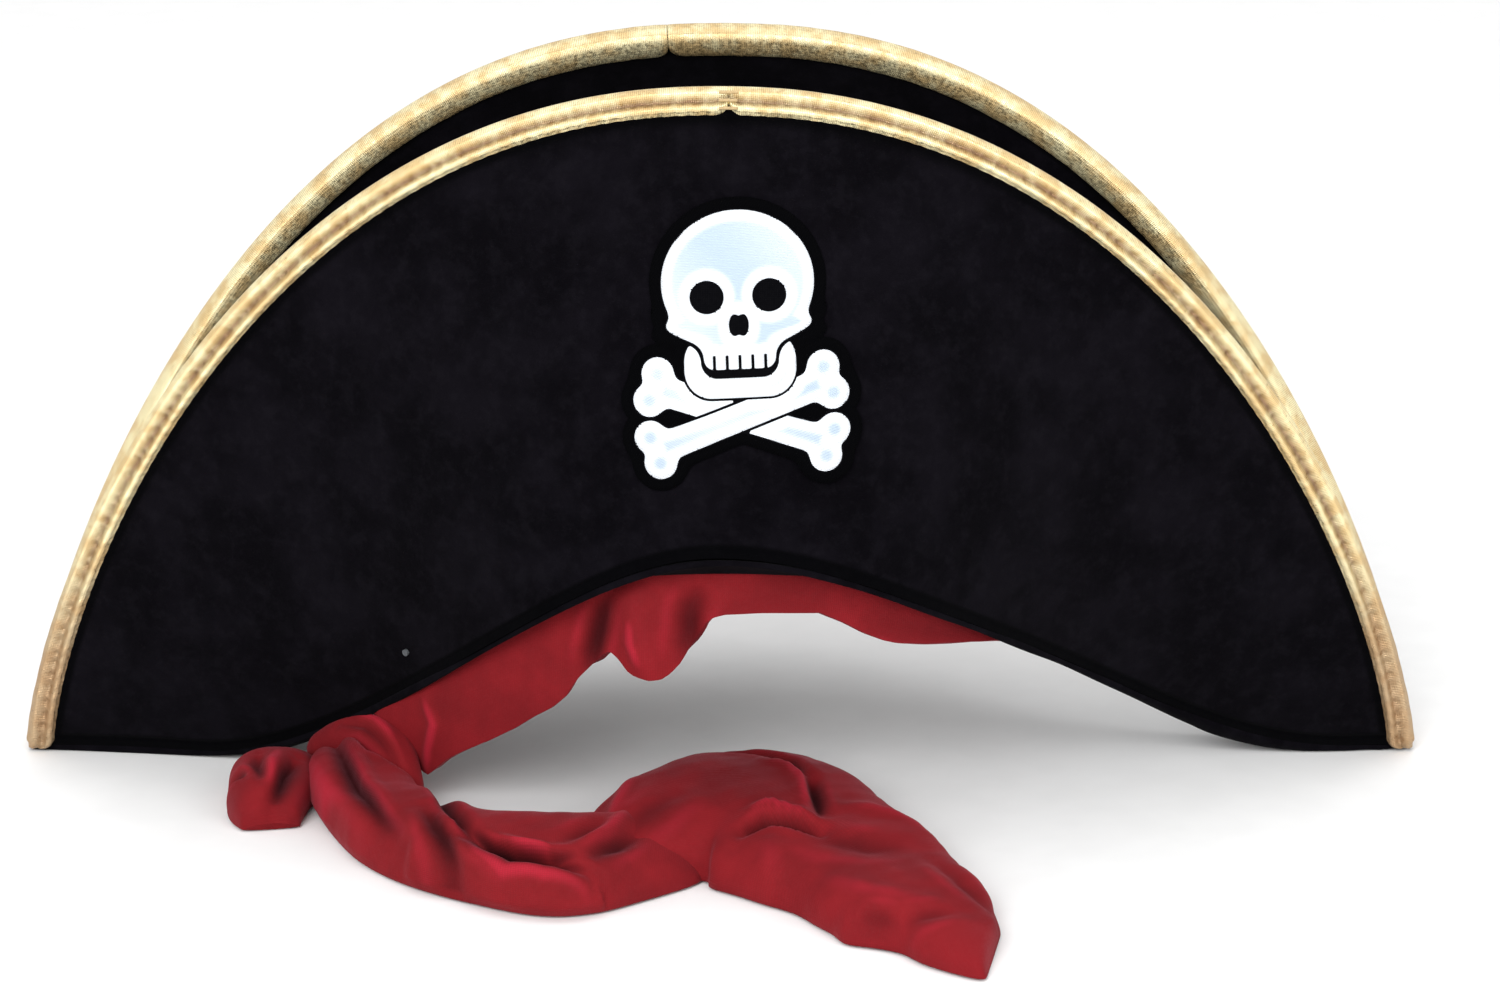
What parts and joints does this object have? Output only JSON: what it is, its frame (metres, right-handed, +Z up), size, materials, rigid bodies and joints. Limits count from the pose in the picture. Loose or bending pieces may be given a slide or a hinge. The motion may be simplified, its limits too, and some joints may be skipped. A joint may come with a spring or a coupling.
{
  "type": "pirate hat",
  "caption": "Two-flap felt pirate hat with gold edge binding, an embroidered patch, and a red cloth band knotted at one side with a long loose tail.",
  "frame": {"origin": "on the plane that the hat stands on, straight under the middle of the head opening", "axes": "+Z up, +X from the left tip to the right tip as seen from the front, the front flap faces -Y"},
  "size_m": [0.4248, 0.2718, 0.2182],
  "materials": {
    "felt_black": "soft pressed felt",
    "lining_black": "thin woven lining",
    "buckram": "stiff open weave",
    "gold_braid": "metallic ribbon with stitched ridges",
    "gold_thread": "thread",
    "black_thread": "satin thread",
    "grey_thread": "thread",
    "white_thread": "satin embroidery",
    "red_cloth": "soft brushed jersey",
    "red_thread": "thread",
    "label_white": "woven label, blank"
  },
  "bodies": {
    "hat": {"front_flap": "felt_black", "front_stiffener": "buckram", "front_facing": "felt_black", "back_flap": "felt_black", "back_stiffener": "buckram", "back_facing": "felt_black", "under_brim": "felt_black", "crown_side": "felt_black", "crown_tip": "felt_black", "sweatband": "lining_black", "blank_label": "label_white", "braid_front_left": "gold_braid", "braid_front_right": "gold_braid", "braid_back_left": "gold_braid", "braid_back_right": "gold_braid", "braid_join_stitches": "gold_thread", "tip_stitches": "black_thread", "front_tack": "grey_thread", "patch_ground": "lining_black", "patch_border": "black_thread", "patch_skull": "white_thread", "patch_jaw": "white_thread", "patch_rising_bone": "white_thread", "patch_falling_bone": "white_thread", "band": "red_cloth", "band_stitches": "red_thread", "knot": "red_cloth", "short_end": "red_cloth"},
    "tail_first": {"tail_first_stretch": "red_cloth"},
    "tail_last": {"tail_last_stretch": "red_cloth"}
  },
  "joints": [
    {"name": "tail_sweep", "type": "hinge", "parent": "hat", "child": "tail_first", "pos_m": [-0.104, -0.06, 0], "axis": [0, 0, 1], "range_deg": [-24, 15]},
    {"name": "tail_lift", "type": "hinge", "parent": "tail_first", "child": "tail_last", "pos_m": [-0.016, -0.085, 0.0059], "axis": [0, -1, 0], "range_deg": [0, 50]}
  ]
}
